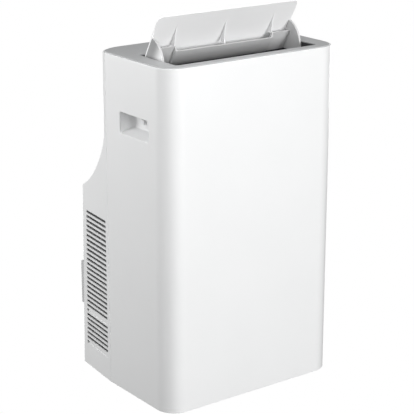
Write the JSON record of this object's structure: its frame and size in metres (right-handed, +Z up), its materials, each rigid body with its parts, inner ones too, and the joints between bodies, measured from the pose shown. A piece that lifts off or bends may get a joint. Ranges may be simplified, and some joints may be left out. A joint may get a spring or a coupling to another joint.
{
  "type": "portable air conditioner",
  "caption": "Upright room air conditioner on casters, with a tilting top outlet flap, side vents, a hollowed back for the hose collar, and recessed carry handles.",
  "frame": {"origin": "on the floor, under the middle of the footprint's box, from the front face to the back of the cord hook", "axes": "+X to the right as one faces the front, -Y out of the front face, +Z up"},
  "size_m": [0.453, 0.375, 0.8532],
  "materials": {
    "white_plastic": "smooth moulded, satin",
    "grey_plastic": "fine matte grain",
    "flap_plastic": "smooth moulded, satin",
    "button_plastic": "smooth satin",
    "dark_plastic": "matte",
    "liner_plastic": "matte",
    "filter_mesh": "fine woven mesh in a moulded frame",
    "display": "polished smoked window",
    "wheel_plastic": "matte",
    "rubber": "matte",
    "steel": "zinc plated",
    "black_steel": "black paint",
    "coil_fins": "bare fins",
    "copper": "drawn copper tube"
  },
  "bodies": {
    "root": {"front_casing": "white_plastic", "rear_casing": "white_plastic", "top_cover": "grey_plastic", "base_pan": "dark_plastic", "handle_right": "white_plastic", "handle_left": "white_plastic", "exhaust_collar": "dark_plastic", "cord_gland": "rubber", "cord_hook": "white_plastic", "outlet_duct": "flap_plastic", "louvre_motor": "flap_plastic", "control_panel": "dark_plastic", "display_lens": "display", "evaporator_coil": "coil_fins", "blower_motor": "steel", "blower_scroll": "liner_plastic", "drip_tray": "liner_plastic", "condenser_coil": "coil_fins", "condenser_motor": "steel", "condenser_scroll": "liner_plastic", "exhaust_duct": "liner_plastic", "compressor": "black_steel", "accumulator": "black_steel", "control_box": "liner_plastic", "suction_pipe": "copper", "compressor_foot_1": "rubber", "compressor_foot_2": "rubber", "compressor_foot_3": "rubber"},
    "flap": {"flap_cover": "flap_plastic", "flap_guide": "flap_plastic"},
    "vane_link": {"vane_link": "dark_plastic"},
    "blower_wheel": {"blower_wheel": "dark_plastic"},
    "condenser_fan": {"condenser_fan": "dark_plastic"},
    "upper_intake": {"upper_grille": "white_plastic", "upper_filter": "filter_mesh"},
    "lower_intake": {"lower_grille": "white_plastic", "lower_filter": "filter_mesh"},
    "drain_plug_upper": {"drain_plug_upper": "rubber"},
    "drain_plug_lower": {"drain_plug_lower": "rubber"},
    "vane_1": {"vane_1": "dark_plastic"},
    "vane_2": {"vane_2": "dark_plastic"},
    "vane_3": {"vane_3": "dark_plastic"},
    "vane_4": {"vane_4": "dark_plastic"},
    "button_1": {"button_1": "button_plastic"},
    "button_2": {"button_2": "button_plastic"},
    "button_3": {"button_3": "button_plastic"},
    "button_4": {"button_4": "button_plastic"},
    "button_5": {"button_5": "button_plastic"},
    "caster_front_left": {"caster_fork_front_left": "dark_plastic", "caster_axle_front_left": "steel"},
    "wheel_front_left": {"caster_wheel_front_left": "wheel_plastic"},
    "caster_front_right": {"caster_fork_front_right": "dark_plastic", "caster_axle_front_right": "steel"},
    "wheel_front_right": {"caster_wheel_front_right": "wheel_plastic"},
    "caster_rear_left": {"caster_fork_rear_left": "dark_plastic", "caster_axle_rear_left": "steel"},
    "wheel_rear_left": {"caster_wheel_rear_left": "wheel_plastic"},
    "caster_rear_right": {"caster_fork_rear_right": "dark_plastic", "caster_axle_rear_right": "steel"},
    "wheel_rear_right": {"caster_wheel_rear_right": "wheel_plastic"}
  },
  "joints": [
    {"name": "flap_tilt", "type": "hinge", "parent": "root", "child": "flap", "pos_m": [0, -0.0515, 0.758], "axis": [-1, 0, 0], "range_deg": [-61, 9]},
    {"name": "vane_link_slide", "type": "slide", "parent": "root", "child": "vane_link", "axis": [-1, 0, 0], "range_m": [-0.0096, 0.0096]},
    {"name": "vane_1_swing", "type": "hinge", "parent": "root", "child": "vane_1", "pos_m": [-0.126, -0.0935, 0.679], "axis": [0, 1, 0], "range_deg": [-25, 25]},
    {"name": "vane_2_swing", "type": "hinge", "parent": "root", "child": "vane_2", "pos_m": [-0.042, -0.0935, 0.679], "axis": [0, 1, 0], "range_deg": [-25, 25]},
    {"name": "vane_3_swing", "type": "hinge", "parent": "root", "child": "vane_3", "pos_m": [0.042, -0.0935, 0.679], "axis": [0, 1, 0], "range_deg": [-25, 25]},
    {"name": "vane_4_swing", "type": "hinge", "parent": "root", "child": "vane_4", "pos_m": [0.126, -0.0935, 0.679], "axis": [0, 1, 0], "range_deg": [-25, 25]},
    {"name": "button_1_press", "type": "slide", "parent": "root", "child": "button_1", "axis": [0, 0, -1], "range_m": [0, 0.001], "stiffness_N_per_m": 400, "springref_m": -0.0003},
    {"name": "button_2_press", "type": "slide", "parent": "root", "child": "button_2", "axis": [0, 0, -1], "range_m": [0, 0.001], "stiffness_N_per_m": 400, "springref_m": -0.0003},
    {"name": "button_3_press", "type": "slide", "parent": "root", "child": "button_3", "axis": [0, 0, -1], "range_m": [0, 0.001], "stiffness_N_per_m": 400, "springref_m": -0.0003},
    {"name": "button_4_press", "type": "slide", "parent": "root", "child": "button_4", "axis": [0, 0, -1], "range_m": [0, 0.001], "stiffness_N_per_m": 400, "springref_m": -0.0003},
    {"name": "button_5_press", "type": "slide", "parent": "root", "child": "button_5", "axis": [0, 0, -1], "range_m": [0, 0.001], "stiffness_N_per_m": 400, "springref_m": -0.0003},
    {"name": "blower_spin", "type": "hinge", "parent": "root", "child": "blower_wheel", "pos_m": [-0.023, -0.0995, 0.595], "axis": [1, 0, 0], "continuous": true},
    {"name": "condenser_fan_spin", "type": "hinge", "parent": "root", "child": "condenser_fan", "pos_m": [0.06, 0.0075, 0.23], "axis": [0, 1, 0], "continuous": true},
    {"name": "upper_intake_pull", "type": "slide", "parent": "root", "child": "upper_intake", "axis": [0, 1, 0], "range_m": [0, 0.1]},
    {"name": "lower_intake_pull", "type": "slide", "parent": "root", "child": "lower_intake", "axis": [0, 1, 0], "range_m": [0, 0.1]},
    {"name": "drain_plug_upper_pull", "type": "slide", "parent": "root", "child": "drain_plug_upper", "axis": [0, 1, 0], "range_m": [0, 0.02]},
    {"name": "drain_plug_lower_pull", "type": "slide", "parent": "root", "child": "drain_plug_lower", "axis": [0, 1, 0], "range_m": [0, 0.02]},
    {"name": "caster_front_left_swivel", "type": "hinge", "parent": "root", "child": "caster_front_left", "pos_m": [-0.172, -0.1295, 0.045], "axis": [0, 0, 1], "continuous": true},
    {"name": "wheel_front_left_roll", "type": "hinge", "parent": "caster_front_left", "child": "wheel_front_left", "pos_m": [-0.172, -0.1435, 0.02], "axis": [1, 0, 0], "continuous": true},
    {"name": "caster_front_right_swivel", "type": "hinge", "parent": "root", "child": "caster_front_right", "pos_m": [0.172, -0.1295, 0.045], "axis": [0, 0, 1], "continuous": true},
    {"name": "wheel_front_right_roll", "type": "hinge", "parent": "caster_front_right", "child": "wheel_front_right", "pos_m": [0.172, -0.1435, 0.02], "axis": [1, 0, 0], "continuous": true},
    {"name": "caster_rear_left_swivel", "type": "hinge", "parent": "root", "child": "caster_rear_left", "pos_m": [-0.172, 0.1125, 0.045], "axis": [0, 0, 1], "continuous": true},
    {"name": "wheel_rear_left_roll", "type": "hinge", "parent": "caster_rear_left", "child": "wheel_rear_left", "pos_m": [-0.172, 0.0985, 0.02], "axis": [1, 0, 0], "continuous": true},
    {"name": "caster_rear_right_swivel", "type": "hinge", "parent": "root", "child": "caster_rear_right", "pos_m": [0.172, 0.1125, 0.045], "axis": [0, 0, 1], "continuous": true},
    {"name": "wheel_rear_right_roll", "type": "hinge", "parent": "caster_rear_right", "child": "wheel_rear_right", "pos_m": [0.172, 0.0985, 0.02], "axis": [1, 0, 0], "continuous": true}
  ],
  "couplings": [
    {"joint": "vane_1_swing", "follows": "vane_link_slide", "rad_per_m": 45},
    {"joint": "vane_2_swing", "follows": "vane_link_slide", "rad_per_m": 45},
    {"joint": "vane_3_swing", "follows": "vane_link_slide", "rad_per_m": 45},
    {"joint": "vane_4_swing", "follows": "vane_link_slide", "rad_per_m": 45}
  ]
}
